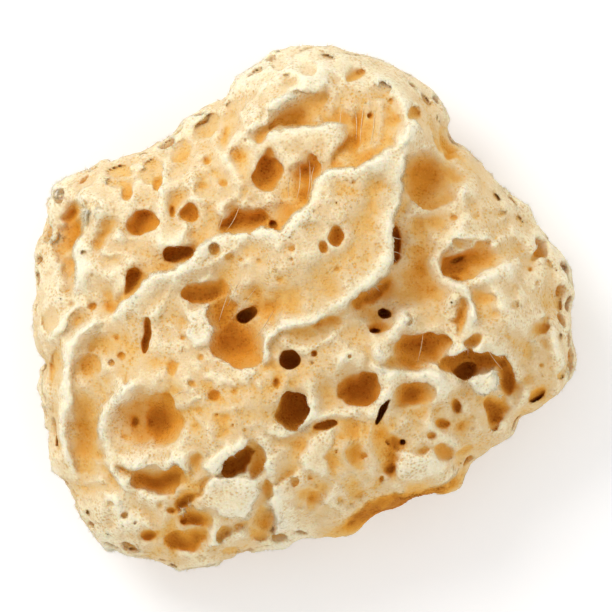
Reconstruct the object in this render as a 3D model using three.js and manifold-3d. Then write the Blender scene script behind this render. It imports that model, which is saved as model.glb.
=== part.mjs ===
// A natural sea sponge of the honeycomb kind, one grown piece, trimmed flat where it was cut from the rock.
// Millimetres, +Z up. The origin is on the cut base, under the middle of the sponge's outline.
// The body is a ball drawn out to the sponge's outline. Crests are swept onto it, and hollows are taken out of it.
import * as THREE from "three";
import { mergeVertices } from "three/addons/utils/BufferGeometryUtils.js";
import Module from "manifold-3d";

// Driving dimensions
const WAIST = 25; // height of the widest outline above the base
const CROWN = 60; // height that the dome reaches before its swells
const UNDERCUT = 38; // how far below the waist the body would close if it weren't cut flat
const SQUARENESS = 2.5; // exponent of the superellipse from waist to crown: 2 is a plain ellipse
const BODY_DETAIL = 9; // subdivisions of each face of the ball
const WIDE = 4; // half width from which a hollow gets the finer facets
const FINE = [9, 5]; // facets around a wide hollow, and from its top to its floor
const COARSE = [6, 4]; // the same for a narrow one
const CREST_SIDES = 6; // facets around a crest's section
const CREST_STEP = 7; // length of a crest's facets
const CREST_SUNK = 0.2; // how deep a crest's middle lies, as a share of how far it stands up
const BURIED = 0.3; // share of a hollow's depth at which it is widest

const wasm = await Module();
wasm.setup();

// The outline seen from above, anticlockwise from +X
const OUTLINE = [
  [68, -9], [65.6, 1], [65.5, 9], [62.5, 15], [57.5, 22], [50, 29.5], [44.5, 35], [41, 40], [35.5, 43],
  [34.5, 49], [30, 54.5], [24, 58.5], [15.5, 61.8], [9, 64], [3, 65], [-4, 63.5], [-9.5, 63.2], [-13, 60],
  [-17, 57.5], [-19.5, 52], [-25, 50.5], [-30.5, 46.5], [-35.5, 43.5], [-40, 39.5], [-46, 37.6], [-51, 36.2],
  [-58, 33], [-62.5, 29.8], [-65, 25], [-65.2, 18], [-68, 11], [-68.6, 1], [-68, -8], [-65.8, -14],
  [-67, -21], [-66, -28], [-63.8, -34], [-63.6, -41], [-58.3, -44.5], [-57.5, -51], [-53.5, -57], [-47, -61],
  [-37, -63.5], [-28, -65], [-20, -62.6], [-10, -61.8], [-6, -59.6], [2.5, -57.2], [9, -57.4], [16, -53.8],
  [24, -51.2], [30, -46.8], [37, -45.8], [40.5, -40.5], [47, -35.2], [51.8, -31.5], [52, -27.5], [58, -26.5],
  [63, -21.5], [68.2, -16.5],
];

// Broad swells (+) and dips (-) of the top: middle, height, radii and turn in degrees
const SWELLS = [
  { at: [6, 17], high: 7, radii: [30, 10], turn: 46 }, // the great fold
  { at: [29, 6], high: -7, radii: [11, 18], turn: -20 },
  { at: [-19, -6], high: -5, radii: [13, 9], turn: 55 },
  { at: [-55, -30], high: -5, radii: [6, 15], turn: 0 },
  { at: [-56, 18], high: -4, radii: [7, 12], turn: -38 },
  { at: [8, 58], high: 5, radii: [20, 7], turn: -10 },
  { at: [2, 44], high: -4, radii: [14, 7], turn: 25 },
  { at: [-38, 26], high: -3, radii: [18, 7], turn: 35 },
  { at: [45, -4], high: 4, radii: [8, 14], turn: 0 },
  { at: [20, -48], high: -6, radii: [34, 9], turn: 24 },
  { at: [-5, -48], high: 4, radii: [16, 11], turn: 10 },
  { at: [-23, -26], high: 4, radii: [9, 14], turn: 20 },
];

// Hollows of the top: middle, half widths, turn in degrees and depth
const HOLLOWS = [
  { at: [-17, -8], half: [7.6, 7.8], turn: 0, deep: 15 }, // pool at the low end of the great fold
  { at: [-23, 2.5], half: [7.2, 4.2], turn: 10, deep: 10 },
  { at: [-14, 1], half: [5, 8], turn: -35, deep: 9 },
  { at: [-36.5, -28.5], half: [7.4, 7.4], turn: 0, deep: 15 }, // bowl
  { at: [-44, -29], half: [7, 7.6], turn: 0, deep: 8 },
  { at: [-54.5, -31], half: [4.8, 12.5], turn: 4, deep: 10 }, // gutter left of the bowl
  { at: [-37.5, -43], half: [6.6, 4], turn: 12, deep: 10 },
  { at: [-54, -16], half: [2.6, 4], turn: 0, deep: 5 },
  { at: [-57, -4.5], half: [7, 2.4], turn: 38, deep: 6 },
  { at: [-59, 16], half: [4.6, 8.6], turn: -38, deep: 8 },
  { at: [-50.5, 16], half: [2.8, 5], turn: -22, deep: 5 },
  { at: [-40.5, 20.5], half: [4.4, 3.6], turn: 20, deep: 9 },
  { at: [-29, 23], half: [2.4, 2.4], turn: 0, deep: 7 },
  { at: [-31.5, 12.7], half: [4.6, 2.9], turn: -8, deep: 9 },
  { at: [-42.6, 5.2], half: [2.7, 4.6], turn: -14, deep: 8 },
  { at: [-38, 32], half: [3.2, 4.2], turn: 20, deep: 6 },
  { at: [-46.5, 34], half: [3.8, 2.2], turn: -10, deep: 4 },
  { at: [-32, 38], half: [2.4, 2.8], turn: -30, deep: 5 },
  { at: [-25, 46], half: [4.6, 2.8], turn: 30, deep: 5 },
  { at: [-9.6, 32.4], half: [3.7, 5], turn: -10, deep: 12 },
  { at: [0.5, 30.5], half: [3.8, 6.4], turn: -5, deep: 8 },
  { at: [-16, 21], half: [5.5, 2.9], turn: 12, deep: 9 },
  { at: [-3, 47.5], half: [9.2, 4.8], turn: 38, deep: 10 }, // arch under the top lobe
  { at: [11.5, 42], half: [5.2, 9.6], turn: -16, deep: 8 },
  { at: [12.8, 58], half: [3, 1.9], turn: 30, deep: 6 },
  { at: [0.5, 59], half: [3, 2], turn: 10, deep: 4 },
  { at: [30, 32], half: [5.4, 8], turn: -4, deep: 14 }, // pocket right of the great fold
  { at: [38.5, 33], half: [4, 5.5], turn: 35, deep: 6 },
  { at: [41, 11.2], half: [8.4, 4.4], turn: 14, deep: 12 },
  { at: [51.5, 13.5], half: [3.2, 2], turn: 10, deep: 5 },
  { at: [19.5, -1.6], half: [2, 1.7], turn: -20, deep: 9 },
  { at: [28, -11], half: [7.2, 4.6], turn: 4, deep: 11 }, // cave under the knob
  { at: [42, -15.4], half: [8.8, 3.9], turn: 4, deep: 14 },
  { at: [49, -19], half: [3.4, 5.6], turn: 0, deep: 9 },
  { at: [46.8, -26.5], half: [2.9, 4.6], turn: 0, deep: 8 },
  { at: [12.4, -19.6], half: [6.3, 4.6], turn: -10, deep: 10 },
  { at: [-3.2, -26], half: [4.4, 4.6], turn: 30, deep: 12 },
  { at: [-4, -13.2], half: [2.6, 2.6], turn: 0, deep: 9 },
  { at: [25, -22.5], half: [5.4, 4], turn: 30, deep: 6 },
  { at: [-15, -38.5], half: [5.2, 3.8], turn: 35, deep: 10 },
  { at: [-30.5, -58], half: [4.4, 2.8], turn: 5, deep: 6 },
  { at: [19, -49.2], half: [11, 2.4], turn: 22, deep: 6 },
  { at: [34.6, -37], half: [3, 2.4], turn: -40, deep: 5 },
  { at: [58, -23], half: [2.2, 3.4], turn: -35, deep: 6 },
  { at: [57.5, -5.5], half: [2.8, 2], turn: 30, deep: 4 },
];

// Crests of the top: the line each follows, its half thickness and how far it stands up
const CRESTS = [
  { along: [[-45, 0], [-38, 8], [-30, 9.6], [-24, 15], [-15, 18], [-6, 17]], half: 1.5, proud: 2.5 },
  { along: [[-6, 17], [-1, 23], [4, 32], [12, 33.5], [21, 37.5], [26, 44]], half: 1.7, proud: 2.8 },
  { along: [[23, 39], [22, 26], [20, 12], [13, 3.5], [4, -2.5], [-5, -5]], half: 1.6, proud: 2.8 },
  { along: [[-49, -3.5], [-55, -7], [-59, -14], [-59.6, -24], [-60, -33]], half: 1.4, proud: 2.2 },
  { along: [[-44, -20.5], [-49.5, -27], [-50.4, -34], [-46, -38], [-39, -37.5]], half: 1.4, proud: 2.4 },
  { along: [[25, -3], [20, -8], [16.5, -12.5], [23, -16.6], [31, -17], [35, -21]], half: 1.6, proud: 2.6 },
  { along: [[-46, 30], [-51.5, 23], [-55.6, 16], [-56, 8]], half: 1.4, proud: 2 },
  { along: [[-12, 41], [-5, 43.4], [1, 43.8], [8, 44.2]], half: 1.3, proud: 2.2 },
  { along: [[40, 22], [37, 16.5], [33, 11.5], [33.5, 6.5], [39.5, 5], [41, -4]], half: 1.4, proud: 2.2 },
];

// Hollows of the sides, spread round the body by the golden angle
const SIDE_HOLLOWS = 34;
const SIDE_BAND = [5, 44]; // heights that they lie between
const SIDE_HALF = [2.6, 5.8]; // half width, least and most
const SIDE_DEPTH = 1.2; // depth as a share of the half width
const SIDE_LENGTH = 0.8; // height of a side hollow as a share of its width
const SIDE_TURN = 40; // how much further each side hollow is turned than the last, in degrees
const FLANK_DENT = 0.14; // deepest dent of the flanks as a share of the radius
const BASE_HOLLOWS = [[-30, 12, 4], [22, 24, 5], [30, -16, 4], [-18, -30, 5], [-4, 34, 3.5]]; // x, y, radius

const degrees = (angle) => THREE.MathUtils.degToRad(angle);
const golden = Math.PI * (3 - Math.sqrt(5));

// The outline's radius at an azimuth, from a smooth closed curve through its points
const outlineCurve = new THREE.CatmullRomCurve3(
  OUTLINE.map(([x, y]) => new THREE.Vector3(x, y, 0)), true, "centripetal");
const outlinePolar = outlineCurve
  .getPoints(OUTLINE.length * 6)
  .slice(0, -1)
  .map((p) => ({ azimuth: Math.atan2(p.y, p.x), radius: Math.hypot(p.x, p.y) }))
  .sort((a, b) => a.azimuth - b.azimuth);

function outlineRadius(azimuth) {
  const turn = 2 * Math.PI;
  const wrapped = Math.atan2(Math.sin(azimuth), Math.cos(azimuth));
  const after = outlinePolar.findIndex((p) => p.azimuth >= wrapped);
  const high = outlinePolar[Math.max(after, 0)];
  const low = outlinePolar.at(after > 0 ? after - 1 : -1);
  const span = (high.azimuth - low.azimuth + turn) % turn || 1;
  const share = ((wrapped - low.azimuth + turn) % turn) / span;
  return THREE.MathUtils.lerp(low.radius, high.radius, share);
}

// How much a broad swell lifts the top at a place
function swellAt(x, y) {
  return SWELLS.reduce((sum, { at, high, radii, turn }) => {
    const c = Math.cos(degrees(turn));
    const s = Math.sin(degrees(turn));
    const u = ((x - at[0]) * c + (y - at[1]) * s) / radii[0];
    const v = ((y - at[1]) * c - (x - at[0]) * s) / radii[1];
    return sum + high * Math.exp(-(u * u + v * v) / 2);
  }, 0);
}

// Dents of the flanks, as a share of the radius. There are none at the waist, so the outline is kept.
function flankDent(azimuth, lift) {
  const away = Math.abs(lift) * (1 - Math.abs(lift)) * 4;
  const wave = Math.sin(3 * azimuth + 5 * lift) + Math.sin(7 * azimuth - 4 * lift + 1);
  return FLANK_DENT * away * (0.5 + wave / 4);
}

// The envelope's point in a direction given by azimuth and latitude
function envelope(azimuth, latitude) {
  const power = 2 / SQUARENESS;
  const lift = Math.sin(latitude);
  const share = Math.pow(Math.max(Math.cos(latitude), 0), power) * (1 - flankDent(azimuth, lift));
  const radius = outlineRadius(azimuth) * share;
  const rise = Math.sign(lift) * Math.pow(Math.abs(lift), power);
  const x = radius * Math.cos(azimuth);
  const y = radius * Math.sin(azimuth);
  const z = WAIST + rise * (rise > 0 ? CROWN - WAIST : UNDERCUT) + Math.max(rise, 0) ** 2 * swellAt(x, y);
  return new THREE.Vector3(x, y, z);
}

// The top's height at a place: the latitude whose radius reaches it, found by halving
function topAt(x, y) {
  const azimuth = Math.atan2(y, x);
  const reach = Math.hypot(x, y);
  let low = 0;
  let high = Math.PI / 2;
  for (let i = 0; i < 24; i++) {
    const middle = (low + high) / 2;
    const p = envelope(azimuth, middle);
    if (Math.hypot(p.x, p.y) > reach) low = middle;
    else high = middle;
  }
  return envelope(azimuth, low).z;
}

function merged(geometry) {
  geometry.deleteAttribute("normal");
  geometry.deleteAttribute("uv");
  return mergeVertices(geometry, 1e-4);
}

function solid(geometry) {
  const closed = merged(geometry);
  return new wasm.Manifold(
    new wasm.Mesh({
      numProp: 3,
      vertProperties: closed.attributes.position.array,
      triVerts: new Uint32Array(closed.index.array),
    }),
  );
}

function body() {
  const ball = merged(new THREE.IcosahedronGeometry(1, BODY_DETAIL));
  const place = ball.attributes.position;
  for (let i = 0; i < place.count; i++) {
    const latitude = Math.asin(THREE.MathUtils.clamp(place.getZ(i), -1, 1));
    const p = envelope(Math.atan2(place.getY(i), place.getX(i)), latitude);
    place.setXYZ(i, p.x, p.y, p.z);
  }
  return solid(ball);
}

// A hollow is an ellipsoid with its widest level a little below the surface
function hollow({ at, half, turn, deep }) {
  const top = topAt(...at);
  const shape = new THREE.SphereGeometry(1, ...(Math.max(...half) > WIDE ? FINE : COARSE));
  shape.rotateX(Math.PI / 2);
  shape.scale(half[0], half[1], deep * (1 - BURIED));
  shape.rotateZ(degrees(turn));
  shape.translate(at[0], at[1], top - deep * BURIED);
  return solid(shape);
}

// A hollow in the flank, bored straight in
function sideHollow(index) {
  const azimuth = index * golden;
  const share = ((index * 7) % SIDE_HOLLOWS) / (SIDE_HOLLOWS - 1);
  const height = THREE.MathUtils.lerp(...SIDE_BAND, share);
  const half = THREE.MathUtils.lerp(...SIDE_HALF, ((index * 5) % 11) / 10);
  const span = height > WAIST ? CROWN - WAIST : UNDERCUT;
  const latitude = Math.asin(Math.pow(Math.abs(height - WAIST) / span, SQUARENESS / 2));
  const wall = envelope(azimuth, Math.sign(height - WAIST) * latitude);
  const shape = new THREE.SphereGeometry(1, ...COARSE);
  shape.scale(half * SIDE_DEPTH, half, half * SIDE_LENGTH);
  shape.rotateX(degrees(index * SIDE_TURN));
  shape.rotateZ(azimuth);
  shape.translate(wall.x, wall.y, wall.z);
  return solid(shape);
}

function baseHollow([x, y, radius]) {
  const shape = new THREE.SphereGeometry(radius, ...COARSE);
  shape.rotateX(Math.PI / 2);
  shape.translate(x, y, 0);
  return solid(shape);
}

// A line whose swept section stays upright: the section's x runs up and its y runs level
class UprightLine extends THREE.CatmullRomCurve3 {
  computeFrenetFrames(steps) {
    const tangents = Array.from({ length: steps + 1 }, (_, i) => this.getTangentAt(i / steps));
    const binormals = tangents.map((t) => new THREE.Vector3(t.y, -t.x, 0).normalize());
    const normals = tangents.map((t, i) => new THREE.Vector3().crossVectors(binormals[i], t));
    return { tangents, normals, binormals };
  }
}

// A crest is an upright oval swept along its line on the top
function crest({ along, half, proud }) {
  const path = new UprightLine(
    along.map(([x, y]) => new THREE.Vector3(x, y, topAt(x, y) - proud * CREST_SUNK)), false, "centripetal");
  const section = new THREE.Shape();
  section.absellipse(0, 0, proud, half, 0, 2 * Math.PI);
  const corners = section.getPoints(CREST_SIDES).slice(0, CREST_SIDES);
  const outline = new THREE.Shape(corners);
  const steps = Math.max(3, Math.round(path.getLength() / CREST_STEP));
  return solid(new THREE.ExtrudeGeometry(outline, { steps, bevelEnabled: false, extrudePath: path }));
}

function join(parts) {
  return parts.reduce((whole, part) => whole.add(part));
}

// Everything below the cut, and everything that would reach past it
function belowTheCut() {
  const slab = new THREE.BoxGeometry(300, 300, UNDERCUT * 2);
  slab.translate(0, 0, -UNDERCUT);
  return solid(slab);
}

function sponge() {
  const grown = join([body(), ...CRESTS.map(crest)]);
  const sides = Array.from({ length: SIDE_HOLLOWS }, (_, index) => sideHollow(index));
  const holes = join([...HOLLOWS.map(hollow), ...sides, ...BASE_HOLLOWS.map(baseHollow)]);
  const whole = grown.subtract(holes).subtract(belowTheCut());
  const largest = whole.decompose().reduce((a, b) => (a.volume() > b.volume() ? a : b));
  const mesh = largest.getMesh();
  const geometry = new THREE.BufferGeometry();
  geometry.setAttribute("position", new THREE.BufferAttribute(mesh.vertProperties, 3));
  geometry.setIndex(new THREE.BufferAttribute(mesh.triVerts, 1));
  geometry.computeBoundingBox();
  const middle = geometry.boundingBox.getCenter(new THREE.Vector3());
  geometry.translate(-middle.x, -middle.y, 0);
  geometry.computeVertexNormals();
  return geometry;
}

const skeleton = new THREE.MeshStandardMaterial({ color: 0xe8c48c, roughness: 0.9, metalness: 0 });
const piece = new THREE.Mesh(sponge(), skeleton);
piece.name = "sponge";

const seaSponge = new THREE.Group();
seaSponge.add(piece);

export default seaSponge;
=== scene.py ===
"""A natural honeycomb sea sponge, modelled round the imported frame, and seen from above on its cut base.

Lengths are in millimetres in the frame's own axes until a mesh is made, and only then in metres.
"""

import math
from collections import namedtuple

import bpy
import numpy as np
import openvdb
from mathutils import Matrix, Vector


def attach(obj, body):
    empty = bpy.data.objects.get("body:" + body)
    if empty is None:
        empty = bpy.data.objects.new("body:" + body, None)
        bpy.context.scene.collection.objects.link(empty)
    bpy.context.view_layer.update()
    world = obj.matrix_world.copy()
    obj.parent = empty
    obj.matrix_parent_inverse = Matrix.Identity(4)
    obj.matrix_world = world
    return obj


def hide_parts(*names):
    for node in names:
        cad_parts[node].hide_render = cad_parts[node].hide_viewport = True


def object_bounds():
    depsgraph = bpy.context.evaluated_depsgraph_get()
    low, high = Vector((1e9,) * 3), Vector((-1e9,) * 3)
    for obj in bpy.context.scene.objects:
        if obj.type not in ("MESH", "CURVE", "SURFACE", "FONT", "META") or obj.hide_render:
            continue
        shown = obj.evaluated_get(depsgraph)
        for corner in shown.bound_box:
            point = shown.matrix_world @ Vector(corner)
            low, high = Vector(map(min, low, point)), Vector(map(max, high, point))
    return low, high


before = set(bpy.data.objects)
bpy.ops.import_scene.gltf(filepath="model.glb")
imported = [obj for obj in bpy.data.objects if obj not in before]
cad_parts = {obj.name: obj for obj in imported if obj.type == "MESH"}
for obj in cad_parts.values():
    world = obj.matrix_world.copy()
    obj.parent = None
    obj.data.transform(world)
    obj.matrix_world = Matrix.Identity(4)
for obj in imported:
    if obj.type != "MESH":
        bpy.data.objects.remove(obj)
cad_low, cad_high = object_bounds()

MM = 0.001  # one millimetre in metres
STEP = 0.5  # size of a cell of the fine grid
COARSE_STEP = 1.0  # size of a cell while the plain body is worked out
CLOSING = 6.0  # hollows of the frame narrower than twice this are filled before the fine ones are cut
MARGIN = 6.0  # empty cells kept round the body
TOP_FROM, TOP_TO = 16.0, 30.0  # the listed relief fades in between these heights
RIM_BLEND = 0.55  # how softly a hollow's rim is rounded
FUNNEL_BREADTH = 1.55  # breadth of the sunk skin round a hollow, against the hollow's own
RIM_HEIGHT = 0.55  # most that an overhanging rim stands up
FUNNEL_DEPTH = 0.26  # how far that skin sinks, against the hollow's depth
SCATTER_TRIES = 1500  # small hollows tried between the hand-placed ones
MOST_TRIANGLES = 196_000  # what the sponge's own mesh is thinned out to
SEED = 20
SKIN_TONE = 0.54  # tone of the open skin, between 0 for cream and 1 for dark brown
HOLLOW_SHADE_TONE, SHADE_TONE, FLANK_SHADE_TONE = 0.33, 0.22, 0.08  # how much darker these are: painted shade in hollows, on the floors of hollows, and low on the flanks
CREST_TONE, LIP_TONE = 0.04, 0.10  # how much paler these are
DEPTH_SHADE_TONE, DEEPEST = 0.006, 9.0  # painted shade for each millimetre under the skin, and where that ends
HOLLOW_REACHES = ((0.9, 0.9), (2.2, 1.3), (4.5, 1.8))  # how far is looked round a point, and its share of the painted shade in hollows
THREAD_TONE = 0.42
THREAD_BREADTH = 0.2
THREAD_BOW = 0.5  # how far a thread bends to one side
THREAD_LIFT = 0.1  # how far its middle line is over the skin
THREAD_RINGS = 12
THREAD_CORNERS = (0.5, 2.6, 4.7)  # where the three edges are round the thread, in radians
VIEW_BREADTH = 153.0  # what the picture takes in at the height of the widest outline
WAIST = 25.0  # height of the widest outline
CAMERA_DISTANCE = 2500.0
FLOOR_HALF = 3.0  # half the floor's breadth, in metres
FLOOR_GAP = 0.0003  # how far the floor is under the sponge, in metres

box_low = np.array(cad_low) / MM
box_high = np.array(cad_high) / MM
axes = [np.arange(a - MARGIN, b + MARGIN, STEP, dtype=np.float32) for a, b in zip(box_low, box_high)]

# ---------------------------------------------------------------- the shape, as it was read

# Lips: crests. The skin slopes gently on the right of the way that the line runs, and falls away on the left.
# line, height, breadth of the gentle side, fall beyond the lip, reach of the fall
LIPS = [
    ([(-50, -3), (-45, 0), (-41, 5), (-38, 8), (-30, 9.8), (-25, 15), (-20, 17.5), (-14, 18.4), (-8, 17.6),
      (-5, 17.4), (-4, 20), (0, 24.5), (3.4, 30.5), (5.6, 33.2), (10, 33.7), (15, 35), (21, 38), (24, 40.5),
      (27, 46)], 2.6, 4.2, 3.2, 5.0),
    ([(24.4, 40), (23.6, 32), (22.2, 25), (21.2, 17), (20, 10.5), (15, 4.8), (9.5, 0.4)], 2.8, 4.6, 4.5, 8.0),
    ([(13, 3.2), (9, 0.2), (3, -2.8), (-4.5, -5), (-8.6, -8.6), (-10, -12.5), (-12, -15)],
     2.6, 3.6, 1.2, 5.0),
    ([(-58, 1), (-56.6, 5), (-56, 10), (-56.6, 15), (-55.3, 20), (-53, 26)], 1.8, 3.0, 3.0, 4.0),
    ([(-49, -2.6), (-54, -6), (-57.2, -10.5), (-58.6, -16), (-58.8, -24), (-60.4, -29), (-59, -36),
      (-57, -43)], 2.2, 1.6, 0.6, 4.0),
    ([(-45, -47), (-46.8, -42), (-49.4, -37), (-51, -32), (-50, -27), (-47.6, -22.8), (-44, -19.6)],
     2.0, 4.0, 0.8, 4.6),
    ([(7, 54), (4, 54.6), (0.5, 53.2), (-3, 51), (-8, 47.4), (-11, 44), (-12.8, 41)], 1.8, 3.0, 1.0, 4.0),
    ([(-11.4, 40), (-6.8, 43.4), (0.6, 44), (7, 45.4), (10.8, 45)], 1.6, 6.0, 2.0, 4.0),
    ([(10.4, 44.6), (8.6, 41), (6.3, 38), (5, 33.4)], 1.4, 4.0, 1.4, 4.0),
    ([(15.4, -13.2), (19.4, -15.8), (25, -16.2), (31, -17), (35, -20)], 2.4, 3.0, 1.6, 3.0),
    ([(37.5, 17), (33.6, 13.4), (32.2, 10), (34.4, 6.6), (39, 5.2), (41, 1.4), (41, -6)], 2.4, 2.6, 1.4, 3.0),
    ([(38, -41), (33, -44.6), (27.6, -46.6), (24.6, -47.4), (22.2, -45.4), (18, -46.8), (14.5, -48.2),
      (11, -52), (7.6, -55.4)], 1.2, 4.0, 1.6, 5.0),
    ([(15.2, -27.7), (8.2, -26.6), (1.4, -28.2), (-3.2, -30.4), (-9.4, -32.4)], 1.8, 3.0, 1.4, 3.0),
    ([(-28, -42), (-31.6, -38.4), (-36, -40.2), (-42, -39), (-47.6, -37.4)], 1.8, 2.2, 1.6, 3.0),
    ([(-9, -43), (-9.6, -38.4), (-10.6, -34)], 1.4, 3.4, 1.2, 2.0),
    ([(-7.2, -58.4), (-8.2, -53), (-8.4, -47), (-5.6, -43.8), (-0.5, -39)], 1.6, 5.0, 2.2, 3.4),
]

# Bands: a rounded ridge (+) or furrow (-) along a line: line, height, half breadth
BANDS = [
    ([(-48, -23), (-44, -19.4), (-38, -17.6), (-33, -18), (-29.5, -21), (-29.5, -26)], 2.0, 2.6),
    ([(-23, 33), (-20, 37), (-17.5, 42), (-15.6, 46), (-11, 48.6)], 1.8, 1.9),
    ([(-17.5, 41), (-14.5, 37), (-13.6, 31), (-12.4, 26.5), (-8.6, 24.6)], 1.2, 2.6),
    ([(22.4, 39), (24.2, 44), (24.4, 50), (21.5, 55.5), (15, 57)], 2.4, 2.6),
    ([(-37, 26), (-31.5, 30), (-26.5, 32.5), (-22, 34)], 1.6, 2.0),
    ([(-64.5, -9.6), (-60.6, -4.6), (-56.5, -0.6), (-54, 1.4)], 1.8, 1.5),
    ([(-50.5, 24.5), (-53, 17.6), (-53.6, 12)], 1.2, 1.5),
    ([(-49.2, 11.6), (-48, 16.4), (-44.6, 18)], 2.2, 1.7),
    ([(-38, 2), (-36, 8), (-33, 9.6)], 0.5, 2.4),
    ([(-12, -15), (-17, -17.4), (-22, -17.6), (-26, -15)], 1.6, 2.0),
    ([(-13.5, -20), (-9.6, -16.8), (-7, -15.2)], 1.2, 1.4),
    ([(1.4, -28), (2.2, -23.6), (1, -19.6), (4, -15.6), (9.6, -13), (15.4, -13.2)], 2.0, 2.6),
    ([(19.6, -16.6), (20.4, -21), (18, -24.6), (15.2, -27.6)], 1.8, 1.5),
    ([(36.6, -10.6), (40.4, -12.6), (44.4, -11)], 1.8, 1.3),
    ([(25.6, -1.2), (22, -5.4), (19, -9.4), (16, -12.8)], 3.2, 2.8),
    ([(36.4, -5.6), (34.6, -2), (36, 2.6), (35.2, 5.6)], 1.4, 1.6),
    ([(49, 19.6), (52, 18), (55, 18), (59, 13.4)], 0.9, 2.6),
    ([(34.5, 14), (40, 16.8), (47, 16.2)], 0.8, 2.2),
    ([(35.5, 5), (42, 6), (48.5, 8.2), (54.6, 11.6)], 1.8, 1.8),
    ([(25, 26.4), (30, 25), (34, 29), (36.6, 30), (41, 29)], 1.6, 1.8),
    ([(-47, -46), (-50.6, -50), (-53, -55)], 1.4, 2.4),
    ([(-38.5, -51.4), (-43, -54.6), (-47, -56)], 1.2, 3.0),
    ([(-24, -60), (-19, -58), (-14.6, -55.4)], 1.4, 2.0),
    ([(38, -44.6), (44, -38.4), (50, -33.6), (52.6, -27), (57, -20.4), (62, -17.6)], 1.4, 2.6),
    ([(-54.6, 22.8), (-58, 20.2), (-61.4, 16.6)], -1.4, 3.4),
    ([(-58.5, 13.7), (-61.6, 9.4)], -1.2, 3.0),
    ([(-46.4, 22.6), (-50, 16), (-51, 12.6)], -1.4, 2.4),
    ([(-55.3, -22), (-55.4, -31), (-54.2, -40)], -0.9, 3.2),
    ([(-62.8, -12), (-62.4, -21)], -1.4, 2.4),
    ([(-53.6, -1.6), (-58, -5.6), (-62.4, -10)], -0.6, 2.0),
    ([(20, 34), (14, 22), (6, 10), (-4, 2), (-13, -5)], -2.4, 4.4),
    ([(-1.5, 36.6), (-0.6, 30), (1, 25)], -3.0, 3.4),
    ([(13, 50), (12.6, 42), (12.6, 37)], -1.4, 4.6),
    ([(11.6, 51), (11.4, 44), (9.4, 37)], 0.5, 0.8),
    ([(14.4, 52), (14.4, 45), (12.8, 37)], 0.6, 0.7),
    ([(17.6, 52), (17.8, 45), (16.6, 38)], 0.6, 0.8),
    ([(27, 18), (30, 8), (31.5, -1)], -1.6, 5.2),
    ([(39.4, 3), (38.2, -2.4), (37, -6)], -2.4, 1.3),
    ([(22.6, -31), (21.6, -37), (19.4, -42)], -2.4, 1.9),
    ([(25, -20), (27.6, -24)], -2.6, 4.0),
    ([(-30, -46), (-28, -52), (-22, -54.4)], -2.2, 3.4),
    ([(1, -44), (0.4, -50)], -1.4, 2.6),
    ([(12, 6), (3, -1), (-6, -1)], -1.8, 4.0),
    ([(47, -6), (55, -10), (62, -9)], -1.2, 3.0),
]

# Broad swells (+) and dips (-): middle, half breadths, turn, height
SWELLS = [
    (8, 16, 24, 7, 48, 2.0),
    (29, 10, 8, 16, -8, -2.4),
    (-22, -30, 8, 8, 0, 1.6),
    (25.2, -2.6, 2.8, 2.8, 0, 1.6),
    (-40, -28.4, 9.0, 7.2, 0, -3.4),
    (32.5, 34, 6, 7, -10, -2.4),
    (-13, -3, 8, 6, 45, -2.6),
    (45, -13, 9, 6, 0, -1.4),
    (-16, 22, 7, 4, 12, -2.0),
    (27.6, -39.6, 6.2, 3.6, 18, 1.6),
    (44.5, -29, 4.4, 5, 0, 1.6),
    (0, 58, 12, 5, -8, 1.2),
]
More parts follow.
